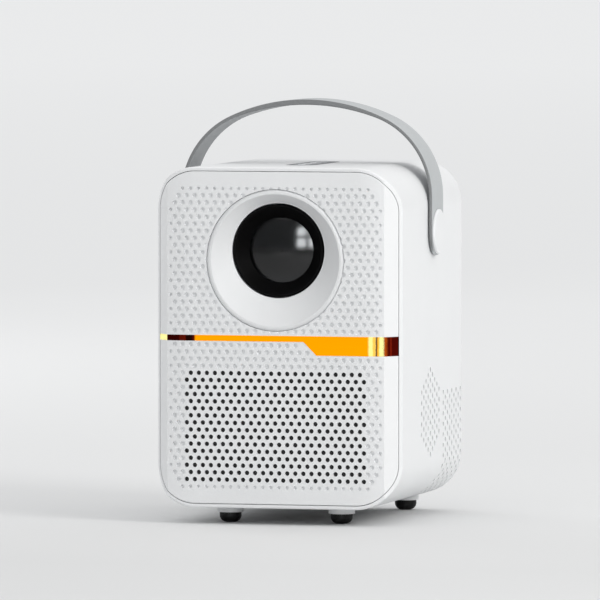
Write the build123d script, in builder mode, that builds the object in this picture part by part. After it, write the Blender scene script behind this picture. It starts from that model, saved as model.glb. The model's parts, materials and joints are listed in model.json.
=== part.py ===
from build123d import *
import os
from math import atan2, copysign, cos, hypot, pi, radians, sin, sqrt, tan

# A small upright home projector. Millimetres, +Z up, the lens looks along -Y.
# The origin is on the floor, under the middle of the body.

os.makedirs("parts", exist_ok=True)

# ---------------------------------------------------------------- driving dimensions
body_w, body_d, body_h = 114.0, 125.0, 154.0
foot_gap = 7.6                      # from the floor to the underside of the body
corner_r = 19.5
wall = 2.5
front_y, rear_y = -body_d / 2, body_d / 2
side_x = body_w / 2
bottom_z, top_z = foot_gap, foot_gap + body_h
body_z = foot_gap + body_h / 2      # middle height of the body

# front surface in plan: flat, then a gentle bend, then a slanting facet at each side
flat_half = 38.0
crease_x, crease_back = 50.5, 0.7
facet_slope = 1.29                  # millimetres back for each millimetre outwards

panel_w, panel_h, panel_r = 111.0, 150.2, 18.0
panel_deep, panel_skin = 11.0, 3.0
seam = 0.25                         # gap between the panel and the housing
frame_y = front_y + panel_deep      # front face of the inner frame

hole_pitch, row_pitch, hole_rows = 3.75, 3.21, 43
first_open_row, last_open_row = 26, 41
open_r, dimple_r, edge_dimple_r, dimple_deep = 1.06, 1.05, 0.75, 0.85
speaker_wall = 1.1                  # the panel is thinner behind the open holes

band_top, band_thin, band_thick = 85.7, 83.1, 77.0
band_step_x = 13.2                  # where the thin part starts to widen
band_deep, band_proud = 1.0, 0.1

lens_z = 123.9                      # height of the lens axis
dish_z, dish_r, dish_bore, dish_back = 119.7, 32.0, 21.5, 6.0
dish_lip = 2.1                      # rounded lip around the dish
hood_r, barrel_r, glass_r = 21.0, 18.0, 15.2
glass_y = front_y + 12.4            # rim of the front lens
slide_gap = 0.05                    # running clearance of shafts and sleeves

pivot_y, pivot_z = 4.8, 130.8
strap_half, strap_in, strap_out = 10.75, 57.6, 59.2
shoulder_x, shoulder_z = 19.4, 146.9
strap_top_out, strap_top_in = 191.0, 188.4

vent_pitch, vent_r = 4.84, 1.2
vent_column = vent_pitch * sqrt(3) / 2
intake_y, intake_z = -0.25, 48.6
intake_rings = 4                    # the intake vent is a hexagon of this many rings

pill_w, pill_l, plate_t = 14.0, 58.0, 1.3
pill_x, pill_y = 2.0, -1.0          # centre of the control plate
key_names = ["power", "back", "select", "volume_down", "volume_up"]
key_pitch, key_r = 10.5, 4.0

feet = {"front": (26.0, -42.5), "rear": (32.0, 54.5)}
collar_t, collar_r, pad_r = 3.0, 6.0, 5.0

rear_t, rear_gap = 2.4, 0.2         # rear cover, and its gap to the walls
rear_w, rear_h = body_w - 2 * (wall + rear_gap), body_h - 2 * (wall + rear_gap)
rear_in = rear_y - 0.3 - rear_t     # inner face of the rear cover
board_z, board_t = 15.1, 1.6
port_y = rear_y - 1.0               # mouth of the sockets


# ---------------------------------------------------------------- helpers
def depth(y):
    """Plane facing forwards at depth y, with X to the right and Z up."""
    return Plane.XZ.offset(-y)


def lens_plane(y):
    """Plane facing forwards at depth y, centred on the lens axis."""
    return Plane(origin=(0, y, lens_z), x_dir=(1, 0, 0), z_dir=(0, -1, 0))


def side(x):
    """Plane facing right at x, with Y along it and Z up."""
    return Plane(origin=(x, 0, 0), x_dir=(0, 1, 0), z_dir=(1, 0, 0))


def save(name, builder):
    builder.part.label = name
    export_step(builder.part, f"parts/{name}.step")


def tube(plane, r_out, r_in, length):
    """Round tube that grows from the plane along its normal."""
    with BuildPart() as piece:
        with BuildSketch(plane):
            Circle(r_out)
            Circle(r_in, mode=Mode.SUBTRACT)
        extrude(amount=length)
    return piece


def slab(x, y, z):
    """Box between two values on each axis."""
    with BuildPart() as piece:
        with BuildSketch(Plane.XY.offset(z[0])):
            with Locations(((x[0] + x[1]) / 2, (y[0] + y[1]) / 2)):
                Rectangle(x[1] - x[0], y[1] - y[0])
        extrude(amount=z[1] - z[0])
    return piece


def ahead_of_front(back):
    """All the space ahead of the front surface, moved back by the given distance."""
    y = front_y + back
    edge_x = side_x + 3
    edge_y = y + crease_back + (edge_x - crease_x) * facet_slope
    with BuildPart() as space:
        with BuildSketch():
            with BuildLine():
                flat = Line((0, y), (flat_half, y))
                bend = TangentArc(flat @ 1, (crease_x, y + crease_back), tangent=flat % 1)
                facet = Line(bend @ 1, (edge_x, edge_y))
                Polyline(facet @ 1, (edge_x, y - 20), (0, y - 20), (0, y))
            make_face()
            mirror(about=Plane.YZ)
        extrude(amount=top_z + 20)
    return space.part


def front_rim(body, half_width):
    """Edges around the front surface, without the upright creases that cross it."""
    near = body.edges().filter_by(lambda e: max((e @ 0).Y, (e @ 1).Y) < frame_y - 1)
    return near.filter_by(lambda e: abs((e @ 0).Z - (e @ 1).Z) < 20
                          or abs(e.center().X) > half_width - 0.01)


def dots(points, radius, y_from, y_to):
    """Round pins along Y at a list of (x, z) points."""
    with BuildPart() as pins:
        with BuildSketch(depth(y_from)):
            with Locations(*points):
                Circle(radius)
        extrude(amount=y_from - y_to)
    return pins.part


# ---------------------------------------------------------------- front perforation
mesh_w, mesh_h = 84.6, 51.4         # cloth behind the open holes
mesh_z = body_z - (first_open_row + last_open_row - hole_rows + 1) / 2 * row_pitch


def row_count(row):
    """Number of holes in a row: the rows shorten towards the rounded corners."""
    from_end = min(row, hole_rows - 1 - row)
    full = 27 if row % 2 else 26
    return min(full, 24 + from_end)


def under_band(x, z, margin):
    step = min(max(x + margin - band_step_x, 0), band_thin - band_thick)
    return band_thin - step - margin < z < band_top + margin


open_dots, dimples, edge_dimples = [], [], []
for row in range(hole_rows):
    z = body_z + (hole_rows // 2 - row) * row_pitch
    count = row_count(row)
    open_count = (23 if row % 2 else 22) if first_open_row <= row <= last_open_row else 0
    for i in range(count):
        x = (i - (count - 1) / 2) * hole_pitch
        from_dish = hypot(x, z - dish_z) - dish_r
        if abs(x) < open_count * hole_pitch / 2:
            open_dots.append((x, z))
        elif from_dish < -0.8 or under_band(x, z, dimple_r + 0.2):
            continue
        elif row in (0, hole_rows - 1) or abs(x) > 48:
            edge_dimples.append((x, z))
        else:
            dimples.append((x, z))

dimple_space = ahead_of_front(dimple_deep)
dimple_pins = [dots(dimples, dimple_r, front_y - 1, front_y + 6) & dimple_space,
               dots(edge_dimples, edge_dimple_r, front_y - 1, front_y + 6) & dimple_space]
open_pins = dots(open_dots, open_r, front_y - 1, front_y + panel_skin + 1)

# ---------------------------------------------------------------- accent strip
band_wide = band_thin - band_thick
with BuildPart() as band_prism:
    with BuildSketch(depth(front_y - 1)):
        with BuildLine():
            Polyline((-panel_w / 2, band_top), (panel_w / 2, band_top), (panel_w / 2, band_thick),
                     (band_step_x + band_wide, band_thick), (band_step_x, band_thin),
                     (-panel_w / 2, band_thin), close=True)
        make_face()
    extrude(amount=-panel_deep)

groove = band_prism.part & ahead_of_front(band_deep)

with BuildPart() as accent_strip:
    add(groove)
    add(ahead_of_front(-band_proud), mode=Mode.SUBTRACT)
save("accent_strip", accent_strip)

# ---------------------------------------------------------------- front panel
with BuildPart() as front_panel:
    with BuildSketch(depth(front_y)):
        with Locations((0, body_z)):
            RectangleRounded(panel_w, panel_h, panel_r)
    extrude(amount=-panel_deep)
    add(ahead_of_front(0), mode=Mode.SUBTRACT)
    fillet(front_rim(front_panel, panel_w / 2), 0.4)
    with BuildSketch(depth(front_y + panel_skin)):
        with Locations((0, body_z)):
            RectangleRounded(98, 138, 12)
    extrude(amount=-panel_deep, mode=Mode.SUBTRACT)
    with BuildSketch(depth(front_y + speaker_wall)):
        with Locations((0, mesh_z)):
            Rectangle(mesh_w + 0.4, mesh_h + 0.4)
    extrude(amount=-panel_skin, mode=Mode.SUBTRACT)
    with BuildSketch(depth(front_y)):
        with Locations((0, dish_z)):
            Circle(dish_r + 0.1)
    extrude(amount=-panel_deep, mode=Mode.SUBTRACT)
    add(groove, mode=Mode.SUBTRACT)
    add(dimple_pins + [open_pins], mode=Mode.SUBTRACT)
save("front_panel", front_panel)

# ---------------------------------------------------------------- housing
bosses = [(x, z) for x in (-51, 51) for z in (72, 138)]     # rear cover screws
board_posts = [(-44, -32), (32, -32), (-44, 40), (32, 40)]  # main board screws
power_posts = [(-24, 32), (34, 32), (-24, 76), (34, 76)]    # power board, in (y, z)

vent_axes = []                      # (point, direction) of each hole on the right side
for i in range(-intake_rings, intake_rings + 1):
    holes = 2 * intake_rings + 1 - abs(i)
    for j in range(holes):
        z = intake_z + (j - (holes - 1) / 2) * vent_pitch
        vent_axes.append(((side_x, intake_y + i * vent_column, z), (1, 0, 0)))

outlet_y, outlet_z = 24.85, 56.2    # first hole of the outlet vent, which wraps underneath
arc_z, arc_x = bottom_z + corner_r, side_x - corner_r
for i in range(-2, 9):
    for j in range(12):
        down = (j + (i % 2) / 2) * vent_pitch
        past_corner = down - (outlet_z - arc_z)
        if i < 0 and past_corner < 6 - 6 * i:
            continue
        if past_corner > corner_r * radians(75):
            continue
        turn = max(past_corner, 0) / corner_r
        out = (cos(turn), 0, -sin(turn))
        z = outlet_z - down if turn == 0 else arc_z - corner_r * sin(turn)
        x = side_x if turn == 0 else arc_x + corner_r * cos(turn)
        vent_axes.append(((x, outlet_y + i * vent_column, z), out))

with BuildPart() as vent_pins:
    for point, out in vent_axes:
        for mirror_x in (1, -1):
            start = (mirror_x * (point[0] + out[0]), point[1], point[2] + out[2])
            inward = (-mirror_x * out[0], 0, -out[2])
            with BuildSketch(Plane(origin=start, z_dir=inward)):
                Circle(vent_r)
            extrude(amount=wall + 2)

with BuildPart() as housing_shell:
    with BuildSketch(depth(front_y)):
        with Locations((0, body_z)):
            RectangleRounded(body_w, body_h, corner_r)
    extrude(amount=-body_d)
    fillet(housing_shell.edges().group_by(Axis.Y)[-1], 2.2)
    add(ahead_of_front(0), mode=Mode.SUBTRACT)
    fillet(front_rim(housing_shell, side_x), 0.7)
    with BuildSketch(depth(front_y)):
        with Locations((0, body_z)):
            RectangleRounded(body_w - 2 * wall, body_h - 2 * wall, corner_r - wall)
    extrude(amount=-body_d, mode=Mode.SUBTRACT)
    with BuildSketch(depth(front_y)):
        with Locations((0, body_z)):
            RectangleRounded(panel_w + 2 * seam, panel_h + 2 * seam, panel_r + seam)
    extrude(amount=-panel_deep, mode=Mode.SUBTRACT)
    # bosses for the rear cover screws, along the side walls
    with BuildSketch(depth(rear_in)):
        with Locations(*bosses):
            Circle(3.6)
    extrude(amount=14)
    with BuildSketch(depth(rear_in)):
        with Locations(*bosses):
            Circle(1.25)
    extrude(amount=10, mode=Mode.SUBTRACT)
    # posts under the main board, and the boss of the tripod insert
    with BuildSketch(Plane.XY.offset(bottom_z + wall)):
        with Locations(*board_posts):
            Circle(3)
    extrude(amount=board_z - bottom_z - wall)
    with BuildSketch(Plane.XY.offset(bottom_z + 1)):
        Circle(8)
    extrude(amount=6)
    with BuildSketch(Plane.XY.offset(board_z)):
        with Locations(*board_posts):
            Circle(1.25)
    extrude(amount=-6, mode=Mode.SUBTRACT)
    with BuildSketch(Plane.XY.offset(bottom_z)):
        Circle(5)
    extrude(amount=10, mode=Mode.SUBTRACT)
    # posts for the power board on the left wall
    with BuildSketch(side(-side_x + wall)):
        with Locations(*power_posts):
            Circle(2.5)
    extrude(amount=4.5)
    # handle pivots: a boss inside each side wall, bored for the pin
    for x_out in (-side_x + wall, side_x - wall - 4.5):
        with BuildSketch(side(x_out)):
            with Locations((pivot_y, pivot_z)):
                Circle(7)
        extrude(amount=4.5)
    with BuildSketch(side(-side_x)):
        with Locations((pivot_y, pivot_z)):
            Circle(3)
    extrude(amount=body_w, mode=Mode.SUBTRACT)
    # seat of the control plate, and a well under each key
    with BuildSketch(Plane.XY.offset(top_z)):
        with Locations((pill_x, pill_y)):
            SlotOverall(pill_l + 0.4, pill_w + 0.4, rotation=90)
    extrude(amount=-plate_t, mode=Mode.SUBTRACT)
    with BuildSketch(Plane.XY.offset(top_z)):
        with Locations((pill_x, pill_y)):
            with GridLocations(0, key_pitch, 1, len(key_names)):
                Circle(key_r + 0.7)
    extrude(amount=-wall - 1, mode=Mode.SUBTRACT)
    # posts that hold the key board under the top wall
    with BuildSketch(Plane.XY.offset(top_z - wall)):
        with Locations((pill_x, pill_y - 29.5), (pill_x, pill_y + 29.5)):
            Circle(1.8)
    extrude(amount=-1.4)
    # foot screw holes
    with BuildSketch(Plane.XY.offset(bottom_z)):
        for x, y in feet.values():
            with Locations((x, y), (-x, y)):
                Circle(1.6)
    extrude(amount=wall, mode=Mode.SUBTRACT)
    add(vent_pins, mode=Mode.SUBTRACT)
save("housing_shell", housing_shell)

# ---------------------------------------------------------------- inner frame
speaker_x, speaker_z = 22.0, 44.5

with BuildPart() as front_frame:
    with BuildSketch(depth(frame_y)):
        with Locations((0, body_z)):
            RectangleRounded(body_w - 2 * wall - 0.4, body_h - 2 * wall - 0.4, corner_r - wall)
        with Locations((0, lens_z)):
            Circle(24, mode=Mode.SUBTRACT)
        with Locations((-speaker_x, speaker_z), (speaker_x, speaker_z)):
            Circle(18.5, mode=Mode.SUBTRACT)
    extrude(amount=-2)
save("front_frame", front_frame)

deck_z, deck_t = 88.4, 2.4
with BuildPart() as engine_deck:
    with BuildSketch(Plane.XY.offset(deck_z)):
        with Locations((0, (frame_y + 2 + 44) / 2)):
            Rectangle(body_w - 2 * wall - 0.4, 44 - frame_y - 2)
        with Locations((0, 34)):
            SlotOverall(60, 12, mode=Mode.SUBTRACT)
    extrude(amount=deck_t)
save("engine_deck", engine_deck)

# ---------------------------------------------------------------- lens dish and optics
with BuildPart() as dish_space:
    with BuildSketch(depth(front_y)):
        with Locations((0, dish_z)):
            Circle(dish_r - dish_lip)
    with BuildSketch(lens_plane(front_y + dish_back)):
        Circle(dish_bore + 0.3)
    loft()

with BuildPart() as lens_dish:
    with BuildSketch(depth(front_y)):
        with Locations((0, dish_z)):
            Circle(dish_r)
    extrude(amount=-panel_deep)
    fillet(lens_dish.edges().sort_by(Axis.Y)[0], 1.4)
    add(dish_space, mode=Mode.SUBTRACT)
    with BuildSketch(lens_plane(front_y)):
        Circle(dish_bore)
    extrude(amount=-panel_deep - 1, mode=Mode.SUBTRACT)
save("lens_dish", lens_dish)

hood_front, hood_back = front_y + dish_back - 0.3, glass_y + 0.5
barrel_back = -24.5

with BuildPart() as lens_hood:
    with BuildSketch(Plane.YZ):
        with BuildLine():
            Polyline((hood_front + 0.4, hood_r), (hood_front, hood_r - 0.4), (hood_front, hood_r - 1.0),
                     (hood_front + 0.7, hood_r - 1.7), (glass_y - 0.7, glass_r - 0.3),
                     (glass_y - 0.2, glass_r - 0.1), (glass_y - 0.2, barrel_r),
                     (hood_back, barrel_r), (hood_back, hood_r), close=True)
        make_face()
    revolve(axis=Axis.Y)
lens_hood.part.position = (0, 0, lens_z)
save("lens_hood", lens_hood)

with BuildPart() as focus_barrel:
    with BuildSketch(lens_plane(glass_y - 0.2)):
        Circle(barrel_r)
    extrude(amount=glass_y - 0.2 - barrel_back)
    with BuildSketch(lens_plane(glass_y - 0.2)):
        Circle(glass_r)
    extrude(amount=-5, mode=Mode.SUBTRACT)
    with BuildSketch(lens_plane(glass_y)):
        Circle(glass_r - 2)
    extrude(amount=glass_y - barrel_back, mode=Mode.SUBTRACT)
    with BuildSketch(lens_plane(barrel_back)):
        Circle(glass_r)
    extrude(amount=4, mode=Mode.SUBTRACT)
save("focus_barrel", focus_barrel)


def lens_face(rim_y, radius, bulge):
    """Three points of a spherical face, from the axis to the rim."""
    curve_r = (radius ** 2 + bulge ** 2) / (2 * abs(bulge))
    fall = copysign(curve_r - sqrt(curve_r ** 2 - (radius / 2) ** 2), bulge)
    return (rim_y + bulge, 0), (rim_y + bulge - fall, radius / 2), (rim_y, radius)


def lens(name, rim_y, radius, rim_t, front_bulge, back_bulge):
    """A round lens with a flat rim; a negative bulge makes a hollow face."""
    front = lens_face(rim_y, radius, -front_bulge)
    back = lens_face(rim_y + rim_t, radius, back_bulge)
    with BuildPart() as piece:
        with BuildSketch(Plane.YZ):
            with BuildLine():
                ThreePointArc(*front)
                Line(front[2], back[2])
                ThreePointArc(*back)
                Line(back[0], front[0])
            make_face()
        revolve(axis=Axis.Y)
    piece.part.position = (0, 0, lens_z)
    save(name, piece)


lens("front_lens", glass_y, glass_r, 2.6, 2.4, 1.2)
lens("middle_lens", -37.0, glass_r - 2, 2.0, -1.6, 2.0)
lens("rear_lens", barrel_back - 3.4, glass_r, 2.2, 2.4, 0.6)

sleeve_front, flange_y, flange_t = -43.0, -24.0, 2.0
with BuildPart() as lens_sleeve:
    with BuildSketch(lens_plane(sleeve_front)):
        Circle(20.5)
    extrude(amount=sleeve_front - flange_y)
    with BuildSketch(lens_plane(-35.9)):
        Circle(22)
    extrude(amount=-1.5)
    with BuildSketch(lens_plane(flange_y)):
        Rectangle(60, 60)
    extrude(amount=-flange_t)
    with BuildSketch(lens_plane(sleeve_front)):
        Circle(barrel_r + slide_gap)
    extrude(amount=-30, mode=Mode.SUBTRACT)
save("lens_sleeve", lens_sleeve)

ring_clip = tube(lens_plane(-40.1), 21.6, 20.5, 1.2)
save("ring_clip", ring_clip)

# ---------------------------------------------------------------- focus gears
module = 0.8
ring_teeth, pinion_teeth = 64, 16
mesh_angle = 225                    # direction from the lens axis to the pinion
mesh_distance = module * (ring_teeth + pinion_teeth) / 2
pinion_x = mesh_distance * cos(radians(mesh_angle))
pinion_z = lens_z + mesh_distance * sin(radians(mesh_angle))


def gear_sketch(teeth, first_angle):
    """Straight-flanked gear outline, with thinned teeth for backlash."""
    pitch_r = module * teeth / 2
    root_r, tip_r = pitch_r - 1.25 * module, pitch_r + 0.9 * module
    half_pitch = pi * module / 4 - 0.12
    half_root = half_pitch + 1.25 * module * tan(radians(20))
    half_tip = half_pitch - 0.9 * module * tan(radians(20))
    with BuildSketch() as outline:
        Circle(root_r)
        with PolarLocations(0, teeth, start_angle=first_angle):
            Polygon((root_r - 0.3, -half_root), (tip_r, -half_tip), (tip_r, half_tip),
                    (root_r - 0.3, half_root), align=None)
    return outline.sketch


with BuildPart() as focus_ring_gear:
    with BuildSketch(lens_plane(-36)):
        add(gear_sketch(ring_teeth, 0))
        Circle(20.5 + slide_gap, mode=Mode.SUBTRACT)
    extrude(amount=4)
save("focus_ring_gear", focus_ring_gear)

pinion_plane = Plane(origin=(pinion_x, -35.6, pinion_z), x_dir=(1, 0, 0), z_dir=(0, -1, 0))
with BuildPart() as focus_pinion:
    with BuildSketch(pinion_plane):
        add(gear_sketch(pinion_teeth, 180 / pinion_teeth))
    extrude(amount=4.8)
    with BuildSketch(pinion_plane):
        Circle(1.0)
    extrude(amount=-8)
save("focus_pinion", focus_pinion)

with BuildPart() as focus_motor:
    with BuildSketch(pinion_plane.offset(-1.4)):
        Circle(6)
    extrude(amount=-(flange_y - (-35.6 + 1.4)))
    with BuildSketch(pinion_plane):
        Circle(1.0 + slide_gap)
    extrude(amount=-9, mode=Mode.SUBTRACT)
save("focus_motor", focus_motor)

# ---------------------------------------------------------------- light engine
case_front, case_back = flange_y + flange_t, 24.0
case_x, case_half, case_t = 38.0, 31.0, 2.0
case_low = deck_z + deck_t          # the case stands on the deck

with BuildPart() as light_engine_case:
    with BuildSketch(lens_plane(case_front)):
        Rectangle(2 * case_x, 2 * case_half)
    extrude(amount=case_front - case_back)
    with BuildSketch(lens_plane(case_front + case_t)):
        Rectangle(2 * (case_x - case_t), 2 * (case_half - case_t))
    extrude(amount=case_front - case_back + 2 * case_t, mode=Mode.SUBTRACT)
    with BuildSketch(lens_plane(case_front)):
        Circle(barrel_r + 0.5)
    extrude(amount=-case_t, mode=Mode.SUBTRACT)
    with BuildSketch(lens_plane(case_back)):
        Rectangle(32, 32)
    extrude(amount=case_t, mode=Mode.SUBTRACT)
    with BuildSketch(Plane.XY.offset(case_low)):
        with Locations((-32, 0), (32, 0)):
            Rectangle(10, 30)
    extrude(amount=lens_z - case_half - case_low)
save("light_engine_case", light_engine_case)

plate_w, plate_h = 2 * (case_x - case_t), 2 * (case_half - case_t)


def optic_plates(name, depths, thick):
    """Flat plates that span the case, at one or more depths."""
    with BuildPart() as piece:
        for y in depths:
            with BuildSketch(lens_plane(y)):
                Rectangle(plate_w, plate_h)
            extrude(amount=-thick)
    save(name, piece)


optic_plates("fresnel_lenses", [-12.0, 2.0], 1.5)
optic_plates("lcd_panel", [-5.0], 2.2)

with BuildPart() as condenser_lens:
    with BuildSketch(lens_plane(12)):
        Rectangle(plate_w, plate_h)
    extrude(amount=-2)
    with BuildSketch(Plane.YZ):
        with BuildLine():
            dome = ThreePointArc((8.6, lens_z), (9.5, lens_z + 10), (12, lens_z + 18))
            Polyline(dome @ 1, (12, lens_z), dome @ 0)
        make_face()
    revolve(axis=Axis((0, 0, lens_z), (0, 1, 0)))
save("condenser_lens", condenser_lens)

with BuildPart() as led_module:
    with BuildSketch(lens_plane(case_back)):
        Rectangle(46, 46)
    extrude(amount=-2)
    with BuildSketch(lens_plane(case_back)):
        Rectangle(14, 14)
    extrude(amount=1.4)
save("led_module", led_module)

sink_y, sink_base, sink_back, fins = case_back + 2, 4.0, 44.0, 15
with BuildPart() as heat_sink:
    with BuildSketch(lens_plane(sink_y)):
        Rectangle(60, 60)
    extrude(amount=-sink_base)
    with BuildSketch(lens_plane(sink_y + sink_base)):
        with GridLocations(4.2, 0, fins, 1):
            Rectangle(1.2, 60)
    extrude(amount=sink_y + sink_base - sink_back)
save("heat_sink", heat_sink)


# ---------------------------------------------------------------- fans
def fan(name, plane, size, thick):
    """Axial fan: a square frame with a spoked hub, and a rotor that runs on its pin."""
    bore = size / 2 - 1.6
    hub = size * 0.22
    with BuildPart() as frame:
        with BuildSketch(plane):
            RectangleRounded(size, size, 3)
            Circle(bore, mode=Mode.SUBTRACT)
            with GridLocations(size - 6, size - 6, 2, 2):
                Circle(1.4, mode=Mode.SUBTRACT)
        extrude(amount=thick)
        with BuildSketch(plane):
            Circle(hub)
            with PolarLocations(bore / 2, 4, start_angle=45):
                Rectangle(bore + 1, 2.2)
        extrude(amount=1.4)
        with BuildSketch(plane.offset(1.4)):
            Circle(1.5)
        extrude(amount=thick - 4)
    save(name + "_frame", frame)
    with BuildPart() as rotor:
        with BuildSketch(plane.offset(1.8)):
            Circle(hub)
        extrude(amount=thick - 2.3)
        with BuildSketch(plane.offset(2.2)):
            with PolarLocations(0, 7):
                with Locations((hub - 0.5, 0)):
                    Rectangle(bore - hub - 0.3, 1.4, align=(Align.MIN, Align.CENTER))
        extrude(amount=thick - 3.2, taper=0)
        with BuildSketch(plane.offset(1.8)):
            Circle(1.5 + slide_gap)
        extrude(amount=thick - 4, mode=Mode.SUBTRACT)
    save(name + "_rotor", rotor)


exhaust_plane = Plane(origin=(0, rear_in - 0.6, lens_z), x_dir=(1, 0, 0), z_dir=(0, -1, 0))
fan("exhaust_fan", exhaust_plane, 60, 12)
intake_plane = Plane(origin=(side_x - wall - 0.8, intake_y, intake_z), x_dir=(0, 1, 0), z_dir=(-1, 0, 0))
fan("intake_fan", intake_plane, 50, 10)

# ---------------------------------------------------------------- speakers
mesh_y = front_y + speaker_wall
speaker_mesh = slab((-mesh_w / 2, mesh_w / 2), (mesh_y, mesh_y + 0.4),
                    (mesh_z - mesh_h / 2, mesh_z + mesh_h / 2))
save("speaker_mesh", speaker_mesh)

speaker_spot = Plane(origin=(speaker_x, frame_y, speaker_z), x_dir=(1, 0, 0), z_dir=(0, -1, 0))
cone_r, basket_r, basket_deep = 17.0, 18.2, 9.0

with BuildPart() as speaker_frames:
    with BuildSketch(speaker_spot):
        RectangleRounded(40, 40, 4)
        Circle(cone_r, mode=Mode.SUBTRACT)
    extrude(amount=2)
    with BuildSketch(speaker_spot):
        Circle(basket_r)
        Circle(cone_r, mode=Mode.SUBTRACT)
    extrude(amount=-basket_deep)
    with BuildSketch(speaker_spot.offset(-basket_deep)):
        Circle(basket_r)
        Circle(6, mode=Mode.SUBTRACT)
    extrude(amount=-1.5)
    mirror(about=Plane.YZ)
save("speaker_frames", speaker_frames)

with BuildPart() as speaker_cones:
    with BuildSketch(Plane(origin=(speaker_x, frame_y, speaker_z), x_dir=(0, 1, 0), z_dir=(1, 0, 0))):
        with BuildLine():
            Polyline((-0.5, cone_r), (-0.5, 14.5), (6.5, 6), (4.5, 0), (5.3, 0), (7.6, 6), (0.3, 15),
                     (0.3, cone_r), close=True)
        make_face()
    revolve(axis=Axis((speaker_x, 0, speaker_z), (0, 1, 0)))
    mirror(about=Plane.YZ)
save("speaker_cones", speaker_cones)

with BuildPart() as speaker_magnets:
    with BuildSketch(speaker_spot.offset(-basket_deep - 1.5)):
        Circle(13)
    extrude(amount=-7)
    mirror(about=Plane.YZ)
save("speaker_magnets", speaker_magnets)

# ---------------------------------------------------------------- control plate and keys
with BuildPart() as control_plate:
    with BuildSketch(Plane.XY.offset(top_z - plate_t)):
        with Locations((pill_x, pill_y)):
            SlotOverall(pill_l, pill_w, rotation=90)
            with GridLocations(0, key_pitch, 1, len(key_names)):
                Circle(key_r + 0.2, mode=Mode.SUBTRACT)
    extrude(amount=plate_t)
    chamfer(control_plate.edges().group_by(Axis.Z)[-1].sort_by(SortBy.LENGTH)[-4:], 0.25)
save("control_plate", control_plate)

key_low = top_z - wall - 0.7
for i, key_name in enumerate(key_names):
    y = pill_y + (i - (len(key_names) - 1) / 2) * key_pitch
    with BuildPart() as key:
        with BuildSketch(Plane.XY.offset(key_low)):
            with Locations((pill_x, y)):
                Circle(key_r)
        extrude(amount=top_z + 0.2 - key_low)
        fillet(key.edges().group_by(Axis.Z)[-1], 0.5)
        with BuildSketch(Plane.XY.offset(key_low)):
            with Locations((pill_x, y)):
                Circle(key_r + 0.5)
        extrude(amount=top_z - plate_t - 0.1 - key_low)
    save(f"key_{key_name}", key)

key_board_z = top_z - wall - 1.4
with BuildPart() as key_board:
    with BuildSketch(Plane.XY.offset(key_board_z)):
        with Locations((pill_x, pill_y)):
            Rectangle(14, 66)
    extrude(amount=-1.2)
    with BuildSketch(Plane.XY.offset(key_board_z)):
        with Locations((pill_x, pill_y)):
            with GridLocations(0, key_pitch, 1, len(key_names)):
                Circle(3)
    extrude(amount=0.25)
save("key_board", key_board)


# ---------------------------------------------------------------- handle
def arch_face(outer_x, top):
    """All below the strap's arch: straight sides, shoulder arcs and a flatter crown arc."""
    shoulder_r = outer_x - shoulder_x
    rise = top - shoulder_z - shoulder_r
    drop = (shoulder_x ** 2 - rise ** 2) / (2 * rise)
    lean = atan2(shoulder_x, drop)
    crown_r = shoulder_r + hypot(shoulder_x, drop)
    crown_z = shoulder_z - drop
    join = (crown_r * sin(lean), crown_z + crown_r * cos(lean))
    mid_turn = (pi / 2 - lean) / 2
    mid = (shoulder_x + shoulder_r * cos(mid_turn), shoulder_z + shoulder_r * sin(mid_turn))
    crown_mid = (crown_r * sin(lean / 2), crown_z + crown_r * cos(lean / 2))
    with BuildSketch(Plane.XZ) as face:
        with BuildLine():
            edge = Line((outer_x, pivot_z - 2 * strap_half), (outer_x, shoulder_z))
            shoulder = ThreePointArc(edge @ 1, mid, join)
            crown = ThreePointArc(shoulder @ 1, crown_mid, (0, top))
            Polyline(crown @ 1, (0, pivot_z - 2 * strap_half), edge @ 0)
        make_face()
        mirror(about=Plane.YZ)
    return face.sketch


with BuildPart() as handle_strap:
    with BuildSketch(depth(pivot_y + strap_half)):
        add(arch_face(strap_out, strap_top_out))
        add(arch_face(strap_in, strap_top_in), mode=Mode.SUBTRACT)
    extrude(amount=2 * strap_half)
    with BuildSketch(side(-side_x - 10)):
        with Locations((pivot_y, pivot_z)):
            Circle(strap_half)
        with Locations((pivot_y, pivot_z)):
            Rectangle(2 * strap_half, 100, align=(Align.CENTER, Align.MIN))
    extrude(amount=body_w + 20, mode=Mode.INTERSECT)
    long_edges = handle_strap.edges().filter_by(Axis.Y, reverse=True)
    fillet(long_edges.filter_by(lambda e: e.length > strap_out - strap_in + 0.01), 0.5)
    with BuildSketch(side(-side_x - 10)):
        with Locations((pivot_y, pivot_z)):
            Circle(5)
    extrude(amount=body_w + 20, mode=Mode.SUBTRACT)
save("handle_strap", handle_strap)

def pivot_plane(x):
    """Plane facing right at x, centred on the handle's pivot."""
    return Plane(origin=(x, pivot_y, pivot_z), x_dir=(0, 1, 0), z_dir=(1, 0, 0))


bush_r, pin_r, pin_head_r, pin_in = 5.0, 3.0, 4.5, 50.0
cap_in, cap_t, cap_r = strap_out + 0.1, 1.0, 10.2

with BuildPart() as handle_bushes:
    with BuildSketch(pivot_plane(strap_in)):
        Circle(bush_r)
        Circle(pin_r + slide_gap, mode=Mode.SUBTRACT)
    extrude(amount=strap_out - strap_in)
    mirror(about=Plane.YZ)
save("handle_bushes", handle_bushes)

with BuildPart() as pivot_washers:
    with BuildSketch(pivot_plane(side_x)):
        Circle(6)
        Circle(pin_r, mode=Mode.SUBTRACT)
    extrude(amount=strap_in - side_x - slide_gap)
    mirror(about=Plane.YZ)
save("pivot_washers", pivot_washers)

with BuildPart() as pivot_pins:
    with BuildSketch(pivot_plane(pin_in - 1.6)):
        Circle(pin_head_r)
    extrude(amount=1.6)
    with BuildSketch(pivot_plane(pin_in)):
        Circle(pin_r)
    extrude(amount=cap_in + 0.4 - pin_in)
    mirror(about=Plane.YZ)
save("pivot_pins", pivot_pins)

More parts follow.
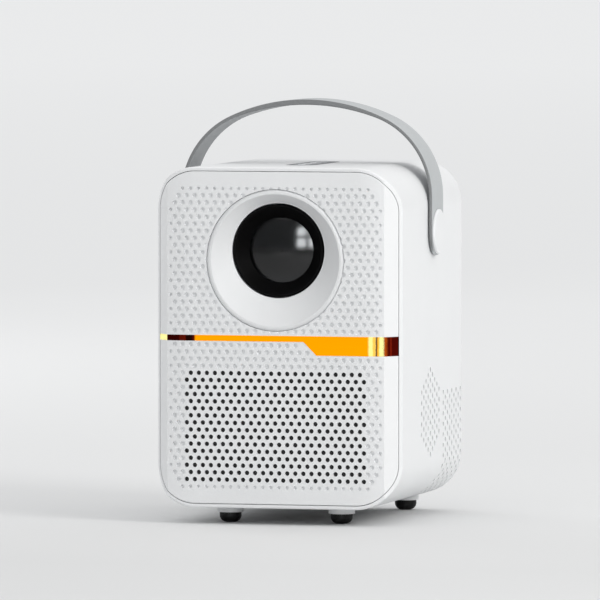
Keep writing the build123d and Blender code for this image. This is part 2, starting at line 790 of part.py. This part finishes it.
with BuildPart() as pivot_caps:
    with BuildSketch(pivot_plane(cap_in)):
        Circle(cap_r)
    extrude(amount=cap_t)
    fillet(pivot_caps.edges().sort_by(Axis.X)[-1], 0.45)
    with BuildSketch(pivot_plane(cap_in)):
        Circle(pin_r)
    extrude(amount=0.4, mode=Mode.SUBTRACT)
    mirror(about=Plane.YZ)
save("pivot_caps", pivot_caps)

# ---------------------------------------------------------------- rear cover and sockets
sockets = {"video_port": (-24, 15.0, 6.0), "data_port": (-4, 14.5, 7.0)}  # x, width, height
av_x, dc_x, jack_z = 14.0, 28.0, board_z + board_t + 4.5
ports_low = board_z + board_t
window_x, window_z = 0.0, 70.0

grille = []
for row in range(-6, 7):
    for col in range(-6, 7):
        x = (col + (row % 2) / 2) * vent_pitch
        z = row * vent_column
        if hypot(x, z) < 27:
            grille.append((x, lens_z + z))

with BuildPart() as rear_cover:
    with BuildSketch(depth(rear_in)):
        with Locations((0, body_z)):
            RectangleRounded(rear_w, rear_h, corner_r - wall - rear_gap)
        with Locations(*grille):
            Circle(1.6, mode=Mode.SUBTRACT)
        for x, w, h in sockets.values():
            with Locations((x, ports_low + h / 2)):
                Rectangle(w + 0.4, h + 0.4, mode=Mode.SUBTRACT)
        with Locations((av_x, jack_z)):
            Circle(3.2, mode=Mode.SUBTRACT)
        with Locations((dc_x, jack_z)):
            Circle(4.4, mode=Mode.SUBTRACT)
        with Locations((window_x, window_z)):
            Circle(4.0, mode=Mode.SUBTRACT)
        with Locations(*bosses):
            Circle(1.6, mode=Mode.SUBTRACT)
    extrude(amount=-rear_t)
    with BuildSketch(depth(rear_y)):
        with Locations(*bosses):
            Circle(3.2)
    extrude(amount=1.6, mode=Mode.SUBTRACT)
save("rear_cover", rear_cover)

with BuildPart() as rear_screws:
    for x, z in bosses:
        spot = Plane(origin=(x, rear_in - 8, z), x_dir=(1, 0, 0), z_dir=(0, 1, 0))
        with BuildSketch(spot):
            Circle(1.2)
        extrude(amount=8)
        with BuildSketch(spot.offset(8)):
            Circle(1.2)
        extrude(amount=1.1)
        with BuildSketch(spot.offset(9.1)):
            Circle(2.9)
            RegularPolygon(1.2, 6, mode=Mode.SUBTRACT)
        extrude(amount=1.1)
        with BuildSketch(spot.offset(9.1)):
            Circle(2.9)
        extrude(amount=0.3)
save("rear_screws", rear_screws)

for name, (x, w, h) in sockets.items():
    mouth = Plane(origin=(x, port_y, ports_low + h / 2), x_dir=(1, 0, 0), z_dir=(0, -1, 0))
    with BuildPart() as port:
        with BuildSketch(mouth):
            Rectangle(w, h)
        extrude(amount=13)
        with BuildSketch(mouth):
            Rectangle(w - 1, h - 1)
        extrude(amount=11, mode=Mode.SUBTRACT)
    save(f"{name}_shell", port)

with BuildPart() as port_tongues:
    for x, w, h in sockets.values():
        with BuildSketch(depth(port_y - 2)):
            with Locations((x, ports_low + h / 2)):
                Rectangle(w - 4, 1.6)
        extrude(amount=9)
save("port_tongues", port_tongues)

jack_plane = Plane(origin=(0, port_y, jack_z), x_dir=(1, 0, 0), z_dir=(0, -1, 0))


def jack(name, x, nose_r, bore_r, pin_radius):
    """Round socket: a nose through the cover, a square body and, in a power jack, a pin."""
    with BuildPart() as piece:
        with BuildSketch(jack_plane):
            with Locations((x, 0)):
                Circle(nose_r)
        extrude(amount=4)
        with BuildSketch(jack_plane.offset(2.4)):
            with Locations((x, 0)):
                Rectangle(9, 9)
        extrude(amount=12)
        with BuildSketch(jack_plane):
            with Locations((x, 0)):
                Circle(bore_r)
        extrude(amount=12, mode=Mode.SUBTRACT)
        if pin_radius:
            with BuildSketch(jack_plane.offset(12)):
                with Locations((x, 0)):
                    Circle(pin_radius)
            extrude(amount=-10)
    save(name, piece)


jack("av_jack", av_x, 3.0, 1.8, 0)
jack("power_jack", dc_x, 4.2, 3.0, 1.05)

with BuildPart() as ir_window:
    with BuildSketch(depth(rear_in)):
        with Locations((window_x, window_z)):
            Circle(4.0)
    extrude(amount=-rear_t)
save("ir_window", ir_window)

# ---------------------------------------------------------------- boards
main_board = slab((-48, 37), (-38, rear_in - 0.5), (board_z, board_z + board_t))
save("main_board", main_board)

with BuildPart() as processor_sink:
    with BuildSketch(Plane.XY.offset(board_z + board_t)):
        with Locations((-12, 0)):
            Rectangle(30, 30)
    extrude(amount=3)
    with BuildSketch(Plane.XY.offset(board_z + board_t + 3)):
        with Locations((-12, 0)):
            with GridLocations(4, 0, 8, 1):
                Rectangle(1, 30)
    extrude(amount=7)
save("processor_sink", processor_sink)

with BuildPart() as board_screws:
    for x, y in board_posts:
        with BuildSketch(Plane.XY.offset(board_z + board_t)):
            with Locations((x, y)):
                Circle(2.6)
        extrude(amount=1.6)
save("board_screws", board_screws)

power_x = -side_x + wall + 4.5
power_board = slab((power_x, power_x + 1.6), (-32, 42), (26, 82))
save("power_board", power_board)
power_transformer = slab((power_x + 1.6, power_x + 20), (-14, 12), (36, 60))
save("power_transformer", power_transformer)

with BuildPart() as power_capacitors:
    with BuildSketch(side(power_x + 1.6)):
        with Locations((24, 40), (24, 56)):
            Circle(6)
    extrude(amount=18)
save("power_capacitors", power_capacitors)

# ---------------------------------------------------------------- feet and tripod insert
with BuildPart() as foot_collars:
    for x, y in feet.values():
        for foot_x in (x, -x):
            with BuildSketch(Plane.XY.offset(bottom_z)):
                with Locations((foot_x, y)):
                    Circle(collar_r)
                    Circle(1.6, mode=Mode.SUBTRACT)
            extrude(amount=-collar_t)
save("foot_collars", foot_collars)

pad_top = bottom_z - collar_t
with BuildPart() as foot_pads:
    for x, y in feet.values():
        for foot_x in (x, -x):
            with BuildSketch(Plane(origin=(foot_x, y, 0), x_dir=(1, 0, 0), z_dir=(0, -1, 0))):
                with BuildLine():
                    dome = ThreePointArc((2, 0), (4.1, 0.95), (pad_r, 3))
                    Polyline(dome @ 1, (pad_r, pad_top), (1.6, pad_top), (1.6, 2), (0, 2), (0, 0), dome @ 0)
                make_face()
            revolve(axis=Axis((foot_x, y, 0), (0, 0, 1)))
save("foot_pads", foot_pads)

with BuildPart() as foot_screws:
    for x, y in feet.values():
        for foot_x in (x, -x):
            with BuildSketch(Plane.XY.offset(2)):
                with Locations((foot_x, y)):
                    Circle(1.5)
            extrude(amount=bottom_z + wall - 2)
            with BuildSketch(Plane.XY.offset(bottom_z + wall)):
                with Locations((foot_x, y)):
                    Circle(3)
            extrude(amount=1.8)
save("foot_screws", foot_screws)

tripod_insert = tube(Plane.XY.offset(bottom_z), 5, 3.175, 7)
save("tripod_insert", tripod_insert)
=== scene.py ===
import bpy, json, math
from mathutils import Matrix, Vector


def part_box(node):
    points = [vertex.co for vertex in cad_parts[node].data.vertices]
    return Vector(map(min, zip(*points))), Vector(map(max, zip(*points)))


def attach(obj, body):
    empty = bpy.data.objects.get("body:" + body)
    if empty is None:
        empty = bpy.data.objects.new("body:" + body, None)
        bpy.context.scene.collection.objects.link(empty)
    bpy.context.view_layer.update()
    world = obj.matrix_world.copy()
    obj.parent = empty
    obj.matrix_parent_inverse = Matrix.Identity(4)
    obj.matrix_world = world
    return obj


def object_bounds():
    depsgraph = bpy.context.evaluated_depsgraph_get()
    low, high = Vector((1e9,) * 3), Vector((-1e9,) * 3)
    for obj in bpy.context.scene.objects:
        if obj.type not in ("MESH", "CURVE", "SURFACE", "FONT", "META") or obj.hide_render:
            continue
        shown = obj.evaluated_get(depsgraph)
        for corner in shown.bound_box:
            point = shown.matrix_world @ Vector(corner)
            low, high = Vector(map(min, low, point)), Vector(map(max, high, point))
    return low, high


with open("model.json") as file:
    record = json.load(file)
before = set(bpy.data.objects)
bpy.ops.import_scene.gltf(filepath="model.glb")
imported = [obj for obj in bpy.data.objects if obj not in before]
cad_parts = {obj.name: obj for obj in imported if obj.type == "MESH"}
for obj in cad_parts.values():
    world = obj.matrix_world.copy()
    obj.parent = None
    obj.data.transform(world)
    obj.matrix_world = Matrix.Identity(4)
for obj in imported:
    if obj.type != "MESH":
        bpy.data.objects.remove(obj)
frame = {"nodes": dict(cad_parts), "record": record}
cad_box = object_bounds()

MM = 0.001


# ---------------------------------------------------------------- materials
def nodes_of(name):
    """A new material, its node tree and its Principled shader."""
    mat = bpy.data.materials.new(name)
    mat.use_nodes = True
    return mat, mat.node_tree, mat.node_tree.nodes["Principled BSDF"]


def add_node(tree, kind, links=(), **values):
    """Adds a node. Values that name an input go to that socket, the others to the node itself."""
    node = tree.nodes.new(kind)
    for key, value in values.items():
        if hasattr(node, key) and key not in node.inputs:
            setattr(node, key, value)
        else:
            node.inputs[key.replace("_", " ")].default_value = value
    for socket, source in links:
        tree.links.new(source, node.inputs[socket])
    return node


def noise(tree, coords, size, detail=2.0, stretch=None):
    """Noise whose features are about size metres across, stretched by a factor on each axis."""
    source = coords
    if stretch:
        source = add_node(tree, "ShaderNodeMapping", [("Vector", coords)], Scale=stretch).outputs[0]
    return add_node(tree, "ShaderNodeTexNoise", [("Vector", source)], Scale=1 / size,
                    Detail=detail, Roughness=0.55).outputs["Fac"]


def mapped(tree, value, start, end, low=0.0, high=1.0, **values):
    """Maps a value from start..end to low..high."""
    node = add_node(tree, "ShaderNodeMapRange", [("Value", value)], **values)
    sockets = ("From Min", "From Max", "To Min", "To Max")
    for socket, number in zip(sockets, (start, end, low, high)):
        node.inputs[socket].default_value = number
    return node.outputs[0]


NOISE_LOW, NOISE_HIGH = 0.3, 0.7    # a noise seldom leaves this range


def spread(tree, fac, low, high):
    """Maps the middle of a noise's range to low..high."""
    return mapped(tree, fac, NOISE_LOW, NOISE_HIGH, low, high)


def tinted(tree, fac, dark, light):
    """Colour that runs from dark to light over the middle of a noise's range."""
    ramp = add_node(tree, "ShaderNodeValToRGB", [("Fac", fac)])
    places = (NOISE_LOW, NOISE_HIGH)
    for stop, place, colour in zip(ramp.color_ramp.elements, places, (dark, light)):
        stop.position, stop.color = place, (*colour, 1)
    return ramp.outputs[0]


def bumped(tree, height, depth):
    """Normal of a surface that the height value raises by up to depth metres."""
    return add_node(tree, "ShaderNodeBump", [("Height", height)], Distance=depth,
                    Strength=1.0).outputs[0]


def moulded(name, colour, rough, grain=0.35, grain_depth=0.01, mottle=0.015, specular=0.5,
            metallic=0.0, coat=0.0, stretch=None):
    """Moulded or cast surface: faint mottling, uneven roughness and a fine grain. Sizes in mm."""
    mat, tree, shader = nodes_of(name)
    coords = add_node(tree, "ShaderNodeTexCoord").outputs["Object"]
    broad = noise(tree, coords, 18 * MM, 3.0)
    fine = noise(tree, coords, grain * MM, 2.0, stretch)
    dark = [c * (1 - mottle) for c in colour]
    light = [min(c * (1 + mottle), 1) for c in colour]
    tree.links.new(tinted(tree, broad, dark, light), shader.inputs["Base Color"])
    tree.links.new(spread(tree, fine, rough - 0.05, rough + 0.05), shader.inputs["Roughness"])
    tree.links.new(bumped(tree, fine, grain_depth * MM), shader.inputs["Normal"])
    shader.inputs["Metallic"].default_value = metallic
    shader.inputs["Specular IOR Level"].default_value = specular
    shader.inputs["Coat Weight"].default_value = coat
    return mat


def optical(name, tint, rough):
    """Clear optical glass with a faint coating and specks of dust."""
    mat, tree, shader = nodes_of(name)
    coords = add_node(tree, "ShaderNodeTexCoord").outputs["Object"]
    dust = noise(tree, coords, 1.2 * MM, 4.0)
    tree.links.new(spread(tree, dust, rough, rough + 0.02), shader.inputs["Roughness"])
    tree.links.new(tinted(tree, dust, [c * 0.97 for c in tint], tint), shader.inputs["Base Color"])
    shader.inputs["Transmission Weight"].default_value = 1.0
    shader.inputs["IOR"].default_value = 1.5
    return mat


WAVE_PERIOD = 0.314     # metres, of a wave texture whose scale is 1


def woven(name, colour, thread):
    """Plain weave of threads along X and Z, thread metres from one to the next."""
    mat, tree, shader = nodes_of(name)
    coords = add_node(tree, "ShaderNodeTexCoord").outputs["Object"]
    waves = [add_node(tree, "ShaderNodeTexWave", [("Vector", coords)], bands_direction=axis,
                      Scale=WAVE_PERIOD / thread).outputs["Fac"] for axis in ("X", "Z")]
    weave = add_node(tree, "ShaderNodeMath", [(0, waves[0]), (1, waves[1])], operation="MULTIPLY")
    tree.links.new(tinted(tree, weave.outputs[0], [c * 0.4 for c in colour], colour),
                   shader.inputs["Base Color"])
    tree.links.new(bumped(tree, weave.outputs[0], 0.05 * MM), shader.inputs["Normal"])
    shader.inputs["Roughness"].default_value = 0.9
    shader.inputs["Sheen Weight"].default_value = 0.3
    return mat


# painted reflections of the surroundings where the foil wraps round the bends,
# as (millimetres from that end, colour); both lists run from left to right
LEFT_END_REFLECTIONS = ((0, "straw"), (4.9, "straw"), (5.2, "wine"), (10.5, "wine"), (11, "red"),
            (13.4, "red"), (13.9, "black_reflection"), (16.8, "black_reflection"), (17.2, "wine"), (17.9, "wine"),
            (18.4, "orange"))
RIGHT_END_REFLECTIONS = ((12.3, "orange"), (11.9, "straw"), (10.2, "straw"), (9.8, "amber"), (9.2, "amber"),
             (8.9, "straw"), (8.6, "wine"), (8.2, "wine"), (7.8, "amber"), (7.2, "amber"),
             (6.9, "lemon"), (5.2, "lemon"), (4.9, "deep_orange_reflection"), (4.2, "deep_orange_reflection"), (3.7, "wine"),
             (2.8, "wine"), (2.6, "red"), (2.4, "wine"))
# the foil's own colour is orange; the other tones are painted reflections, pale ones of bright
# surroundings and dark ones of dark surroundings
TONES = {"orange": (1.0, 0.34, 0.0), "straw": (1.0, 0.86, 0.28), "amber": (1.0, 0.50, 0.05),
         "lemon": (1.0, 0.92, 0.36), "deep_orange_reflection": (0.50, 0.08, 0.007), "red": (0.26, 0.016, 0.004),
         "wine": (0.085, 0.003, 0.001), "black_reflection": (0.012, 0.002, 0.001)}


def foil(name, node):
    """Mirror foil with fine rolling lines along X and reflections painted into its colour where it
    wraps round the bends.
    """
    mat, tree, shader = nodes_of(name)
    low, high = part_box(node)
    coords = add_node(tree, "ShaderNodeTexCoord").outputs["Object"]
    lines = noise(tree, coords, 0.5 * MM, 2.0, (0.02, 1, 1))
    ragged = spread(tree, noise(tree, coords, 1.5 * MM, 2.0), -0.12 * MM, 0.12 * MM)
    across = add_node(tree, "ShaderNodeSeparateXYZ", [("Vector", coords)]).outputs["X"]
    across = add_node(tree, "ShaderNodeMath", [(0, across), (1, ragged)], operation="ADD")
    along = mapped(tree, across.outputs[0], low.x, high.x)
    # this ramp paints the reflections along the strip
    ramp = add_node(tree, "ShaderNodeValToRGB", [("Fac", along)])
    width = (high.x - low.x) / MM
    stops = [(mm / width, tone) for mm, tone in LEFT_END_REFLECTIONS]
    stops += [(1 - mm / width, tone) for mm, tone in RIGHT_END_REFLECTIONS]
    for place, tone in stops[1:-1]:
        ramp.color_ramp.elements.new(place)
    for stop, (place, tone) in zip(ramp.color_ramp.elements, stops):
        stop.position, stop.color = place, (*TONES[tone], 1)
    # painted reflections multiplied by the rolling lines
    reflections_and_lines = add_node(tree, "ShaderNodeMix", data_type="RGBA", blend_type="MULTIPLY")
    reflections_and_lines.inputs[0].default_value = 1.0
    tree.links.new(ramp.outputs[0], reflections_and_lines.inputs[6])
    tree.links.new(tinted(tree, lines, (0.96, 0.96, 0.96), (1, 1, 1)), reflections_and_lines.inputs[7])
    tree.links.new(reflections_and_lines.outputs[2], shader.inputs["Base Color"])
    tree.links.new(spread(tree, lines, 0.03, 0.07), shader.inputs["Roughness"])
    shader.inputs["Metallic"].default_value = 1.0
    return mat


def strap(name, outside, inside, edge, middle):
    """Soft rubber strap with a fine grain: pale outside, with painted shade darkening the inside of
    the arch and the edges.

    A face whose normal points away from middle is the outside of the arch.
    """
    mat = moulded(name, outside, 0.55, 0.25, 0.012, 0.02)
    tree, shader = mat.node_tree, mat.node_tree.nodes["Principled BSDF"]
    coords = add_node(tree, "ShaderNodeTexCoord")
    across = add_node(tree, "ShaderNodeSeparateXYZ", [("Vector", coords.outputs["Normal"])])
    sideways = add_node(tree, "ShaderNodeMath", [(0, across.outputs["Y"])],
                        operation="ABSOLUTE").outputs[0]
    from_middle = add_node(tree, "ShaderNodeVectorMath", [(0, coords.outputs["Object"])],
                           operation="SUBTRACT")
    from_middle.inputs[1].default_value = middle
    outwards = add_node(tree, "ShaderNodeVectorMath", [(0, from_middle.outputs[0]),
                                                       (1, coords.outputs["Normal"])],
                        operation="DOT_PRODUCT").outputs["Value"]
    colour = shader.inputs["Base Color"].links[0].from_socket
    # painted shade: darker tones on the inside of the arch and on the edges, where less light falls
    for value, low, high, tone in ((outwards, 0.01, -0.01, inside), (sideways, 0.45, 0.8, edge)):
        mask = mapped(tree, value, low, high)
        mix = add_node(tree, "ShaderNodeMix", data_type="RGBA")
        tree.links.new(mask, mix.inputs[0])
        tree.links.new(colour, mix.inputs[6])
        mix.inputs[7].default_value = (*tone, 1)
        colour = mix.outputs[2]
    tree.links.new(colour, shader.inputs["Base Color"])
    return mat


WHITE = (0.86, 0.87, 0.88)
STRAP_MIDDLE = (0, 4.8 * MM, 140 * MM)      # a point inside the arch of the strap
looks = {
    "white_shell": moulded("satin_white", WHITE, 0.42, mottle=0.008),
    "white_panel": moulded("panel_white", WHITE, 0.40, mottle=0.008),
    "dish_white": moulded("dish_white", (0.80, 0.81, 0.82), 0.5, grain_depth=0.004, mottle=0.006),
    "accent_orange": foil("orange_foil", "accent_strip"),
    # the strap's inside and edge colours are painted shade
    "strap_grey": strap("strap_rubber", (0.50, 0.52, 0.53), (0.345, 0.355, 0.365),
                        (0.205, 0.21, 0.215), STRAP_MIDDLE),
    "control_grey": moulded("control_satin", (0.21, 0.22, 0.235), 0.40, 0.3),
    "key_grey": moulded("key_satin", (0.40, 0.41, 0.43), 0.45, 0.3),
    "lens_black": moulded("lens_black", (0.0018, 0.0018, 0.002), 0.5, 0.2, 0.006, 0.1, 0.05),
    "lens_glass": optical("front_glass", (0.12, 0.13, 0.145), 0.115),
    "inner_glass": optical("inner_glass", (0.75, 0.80, 0.84), 0.01),
    "frame_black": moulded("frame_black", (0.012, 0.012, 0.013), 0.55, 0.5, 0.02, 0.1),
    "gear_white": moulded("acetal", (0.72, 0.72, 0.68), 0.35, 0.5),
    "spring_steel": moulded("plated_steel", (0.62, 0.62, 0.63), 0.28, 0.3, 0.004, 0.05,
                            metallic=1.0),
    "panel_dark": moulded("display_glass", (0.01, 0.013, 0.016), 0.08, 2.0, 0.001, 0.1, coat=0.5),
    "circuit_board": moulded("solder_mask", (0.01, 0.11, 0.045), 0.3, 1.5, 0.02, 0.25, coat=0.3),
    "sink_aluminium": moulded("extruded_aluminium", (0.72, 0.73, 0.75), 0.32, 0.3, 0.006, 0.04,
                              metallic=1.0, stretch=(1, 0.05, 1)),
    "fan_black": moulded("fan_black", (0.010, 0.010, 0.011), 0.42, 0.6, 0.015, 0.1),
    "mesh_black": woven("speaker_cloth", (0.02, 0.02, 0.02), 0.5 * MM),
    "cone_black": moulded("paper_cone", (0.016, 0.016, 0.016), 0.85, 0.4, 0.04, 0.2),
    "magnet_steel": moulded("magnet_steel", (0.42, 0.42, 0.43), 0.38, 0.4, 0.01, 0.06,
                            metallic=1.0),
    "socket_black": moulded("socket_black", (0.010, 0.010, 0.010), 0.45, 0.4),
    "window_dark": moulded("infrared_window", (0.012, 0.001, 0.002), 0.06, 2.0, 0.001, 0.1,
                           coat=0.6),
    "transformer_yellow": moulded("winding_tape", (0.62, 0.40, 0.04), 0.35, 1.0, 0.03, 0.08,
                                  stretch=(1, 0.1, 1)),
    "capacitor_black": moulded("capacitor_sleeve", (0.016, 0.016, 0.03), 0.25, 1.0, 0.01, 0.1),
    "foot_rubber": moulded("foot_rubber", (0.005, 0.005, 0.0055), 0.5, 0.3, 0.015, 0.15, 0.25),
    "insert_brass": moulded("brass", (0.72, 0.50, 0.17), 0.3, 0.4, 0.01, 0.06, metallic=1.0),
}

for part in frame["record"]["subparts"]:
    mesh = frame["nodes"][part["node"]].data
    mesh.materials.clear()
    mesh.materials.append(looks[part["material_slot"]])


# ---------------------------------------------------------------- raised marks on the keys
STROKE_RADIUS, STROKE_SUNK = 0.2 * MM, 0.06 * MM


def arc(radius, start, end, steps=24):
    """Points of an arc in millimetres, angles in degrees from +X."""
    angles = [math.radians(start + (end - start) * i / steps) for i in range(steps + 1)]
    return [(radius * math.cos(a), radius * math.sin(a)) for a in angles]


def mark(name, node, body, strokes):
    """Rounded strokes slightly proud of a key's top, drawn in millimetres about its centre."""
    low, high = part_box(node)
    middle_x, middle_y = (low.x + high.x) / 2, (low.y + high.y) / 2
    curve = bpy.data.curves.new(name, "CURVE")
    curve.dimensions, curve.use_fill_caps = "3D", True
    curve.bevel_depth, curve.bevel_resolution = STROKE_RADIUS, 3
    for points in strokes:
        spline = curve.splines.new("POLY")
        spline.points.add(len(points) - 1)
        for point, (x, y) in zip(spline.points, points):
            point.co = (middle_x + x * MM, middle_y + y * MM, high.z - STROKE_SUNK, 1)
    curve.materials.append(looks["white_shell"])
    obj = bpy.data.objects.new(name, curve)
    bpy.context.scene.collection.objects.link(obj)
    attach(obj, body)


ARROW_HEAD, ARROW_SHAFT = [(-0.5, 1.5), (-1.9, 0.2), (-0.5, -1.1)], [(-1.8, 0.2), (1.9, 0.2)]
LEVEL, UPRIGHT = [(-1.7, 0), (1.7, 0)], [(0, -1.7), (0, 1.7)]
mark("mark_power", "key_power", "power_key", [arc(1.7, 125, 415), [(0, 0.4), (0, 2.3)]])
mark("mark_back", "key_back", "back_key", [ARROW_HEAD, ARROW_SHAFT])
mark("mark_select", "key_select", "select_key", [arc(1.5, 0, 360, 32)])
mark("mark_minus", "key_volume_down", "volume_down_key", [LEVEL])
mark("mark_plus", "key_volume_up", "volume_up_key", [LEVEL, UPRIGHT])


# ---------------------------------------------------------------- stage, light and camera
lo, hi = cad_box
centre = (Vector(lo) + Vector(hi)) / 2


def around(azimuth, elevation, distance, middle):
    """Point at an azimuth from the front (positive to the right) and an elevation, in degrees."""
    a, e = math.radians(azimuth), math.radians(elevation)
    return Vector(middle) + distance * Vector(
        (math.sin(a) * math.cos(e), -math.cos(a) * math.cos(e), math.sin(e)))


def softbox(name, azimuth, elevation, distance, width, height, power, colour=(1, 1, 1)):
    """Rectangular light that faces the middle of the object, in metres and watts."""
    data = bpy.data.lights.new(name, "AREA")
    data.shape, data.size, data.size_y = "RECTANGLE", width, height
    data.energy, data.color = power, colour
    obj = bpy.data.objects.new(name, data)
    bpy.context.scene.collection.objects.link(obj)
    obj.location = around(azimuth, elevation, distance, centre)
    obj.rotation_euler = (centre - obj.location).to_track_quat("-Z", "Y").to_euler()


# a wide sun overhead stands for the soft light of a large ceiling
overhead = bpy.data.lights.new("overhead", "SUN")
overhead.energy, overhead.angle = 2.04, math.radians(120)
bpy.context.scene.collection.objects.link(bpy.data.objects.new("overhead", overhead))

softbox("key_right", azimuth=62, elevation=23, distance=1.8, width=0.7, height=0.7,
        power=13.5, colour=(1.0, 0.99, 0.97))
softbox("rim_left", azimuth=-125, elevation=15, distance=1.8, width=0.8, height=0.8, power=5.0)
# faint strip low in front, which the orange foil mirrors
softbox("band_glow", azimuth=-10, elevation=-3.75, distance=1.0, width=0.36, height=0.04,
        power=0.0385)


def reflected_only(obj):
    """A stage piece that shows in glossy surfaces and nowhere else."""
    obj.visible_camera = obj.visible_diffuse = obj.visible_transmission = obj.visible_shadow = False
    bpy.context.scene.collection.objects.link(obj)


def card(name, azimuth, distance, width, low, high, material):
    """Upright stage card that faces the object and shows in glossy surfaces only."""
    mesh = bpy.data.meshes.new(name)
    half = width / 2
    mesh.from_pydata([(-half, 0, low), (half, 0, low), (half, 0, high), (-half, 0, high)], [],
                     [(0, 1, 2, 3)])
    mesh.materials.append(material)
    obj = bpy.data.objects.new(name, mesh)
    obj.location = around(azimuth, 0, distance, (centre.x, centre.y, 0))
    obj.rotation_euler = (0, 0, math.radians(azimuth))
    reflected_only(obj)


def dark_ground(name, near, far, left, opening, tone):
    """Dark ground in front, beyond the edge of the pale table.

    It runs from near to far and out to left; its right side opens out by opening for each metre.
    """
    mesh = bpy.data.meshes.new(name)
    above_floor = 0.5 * MM
    outline = ((-left, -near), (near * opening, -near), (far * opening, -far), (-left, -far))
    mesh.from_pydata([(x, y, above_floor) for x, y in outline], [], [(0, 1, 2, 3)])
    mesh.materials.append(moulded(name, (tone, tone, tone), 0.9, 20.0, 0.0, 0.1, 0.0))
    reflected_only(bpy.data.objects.new(name, mesh))


def glow(name, strength, panes):
    """Emission with soft edges, crossed by soft dark bars where panes is above one."""
    mat = bpy.data.materials.new(name)
    mat.use_nodes = True
    tree = mat.node_tree
    tree.nodes.clear()
    place = add_node(tree, "ShaderNodeSeparateXYZ",
                     [("Vector", add_node(tree, "ShaderNodeTexCoord").outputs["Generated"])])
    bright = None       # the product of both axes
    for axis in ("X", "Z"):
        turn = add_node(tree, "ShaderNodeMath", [(0, place.outputs[axis])], operation="MULTIPLY")
        turn.inputs[1].default_value = math.pi * panes
        wave = add_node(tree, "ShaderNodeMath", [(0, turn.outputs[0])], operation="SINE").outputs[0]
        wave = add_node(tree, "ShaderNodeMath", [(0, wave)], operation="ABSOLUTE").outputs[0]
        soft = mapped(tree, wave, 0.0, 0.85, 0.12, 1.0, interpolation_type="SMOOTHSTEP")
        bright = soft if bright is None else add_node(
            tree, "ShaderNodeMath", [(0, bright), (1, soft)], operation="MULTIPLY").outputs[0]
    power = add_node(tree, "ShaderNodeMath", [(0, bright)], operation="MULTIPLY")
    power.inputs[1].default_value = strength
    light = add_node(tree, "ShaderNodeEmission", [("Strength", power.outputs[0])],
                     Color=(0.95, 0.98, 1.0, 1))
    out = add_node(tree, "ShaderNodeOutputMaterial")
    tree.links.new(light.outputs[0], out.inputs["Surface"])
    return mat


dark_ground("dark_ground", near=1.1, far=12.0, left=8.0, opening=0.40, tone=0.37)
card("window", azimuth=14, distance=1.4, width=0.60, low=0.11, high=0.72,
     material=glow("window_glow", strength=17.0, panes=2))

# the world looks brighter to the camera than it lights the object
world = bpy.data.worlds.new("studio")
bpy.context.scene.world = world
world.use_nodes = True
world_tree = world.node_tree
seen = world_tree.nodes["Background"]
seen.inputs["Color"].default_value = (0.82, 0.84, 0.84, 1)
seen.inputs["Strength"].default_value = 1.0
lit = add_node(world_tree, "ShaderNodeBackground", Color=(0.98, 0.99, 1.0, 1), Strength=0.24)
is_camera = add_node(world_tree, "ShaderNodeLightPath").outputs["Is Camera Ray"]
both = add_node(world_tree, "ShaderNodeMixShader",
                [(0, is_camera), (1, lit.outputs[0]), (2, seen.outputs[0])])
world_tree.links.new(both.outputs[0], world_tree.nodes["World Output"].inputs["Surface"])

FLOOR_HALF = 30.0                       # metres, as are these ends of its tones on Y
FLOOR_FRONT, FLOOR_BACK = -1.0, 9.0
# painted light falloff: darker in front and a little paler towards the back, as (place between
# front and back, tone)
FLOOR_TONES = ((0.07, 0.65), (0.10, 0.725), (0.15, 0.755), (0.3, 0.88), (1.0, 0.95))
floor_mesh = bpy.data.meshes.new("floor")
corners = [(-FLOOR_HALF, -FLOOR_HALF, 0), (FLOOR_HALF, -FLOOR_HALF, 0),
           (FLOOR_HALF, FLOOR_HALF, 0), (-FLOOR_HALF, FLOOR_HALF, 0)]
floor_mesh.from_pydata(corners, [], [(0, 1, 2, 3)])
floor = bpy.data.objects.new("floor", floor_mesh)
bpy.context.scene.collection.objects.link(floor)
paper, tree, shader = nodes_of("floor_pale")
place = add_node(tree, "ShaderNodeSeparateXYZ",
                 [("Vector", add_node(tree, "ShaderNodeTexCoord").outputs["Object"])])
back = mapped(tree, place.outputs["Y"], FLOOR_FRONT, FLOOR_BACK)
# this ramp paints the light falling off towards the front
shade = add_node(tree, "ShaderNodeValToRGB", [("Fac", back)])
ramp = shade.color_ramp.elements
for position, tone in FLOOR_TONES[1:-1]:
    ramp.new(position)
for stop, (position, tone) in zip(ramp, FLOOR_TONES):
    stop.position, stop.color = position, (tone, tone * 1.006, tone * 1.01, 1)
tree.links.new(shade.outputs[0], shader.inputs["Base Color"])
shader.inputs["Roughness"].default_value = 0.8
shader.inputs["Specular IOR Level"].default_value = 0.1
floor_mesh.materials.append(paper)

camera_data = bpy.data.cameras.new("camera")
camera_data.lens, camera_data.sensor_width = 562.88, 36.0
camera_data.clip_start, camera_data.clip_end = 0.1, 100
camera = bpy.data.objects.new("camera", camera_data)
bpy.context.scene.collection.objects.link(camera)
camera.location = (1.0623, -4.1499, 0.3014)
LOOKS_DOWN, TURNED_LEFT = 2.7046, 14.4157       # degrees
camera.rotation_euler = (math.radians(90 - LOOKS_DOWN), 0, math.radians(TURNED_LEFT))
bpy.context.scene.camera = camera
bpy.context.scene.view_settings.view_transform = "Standard"
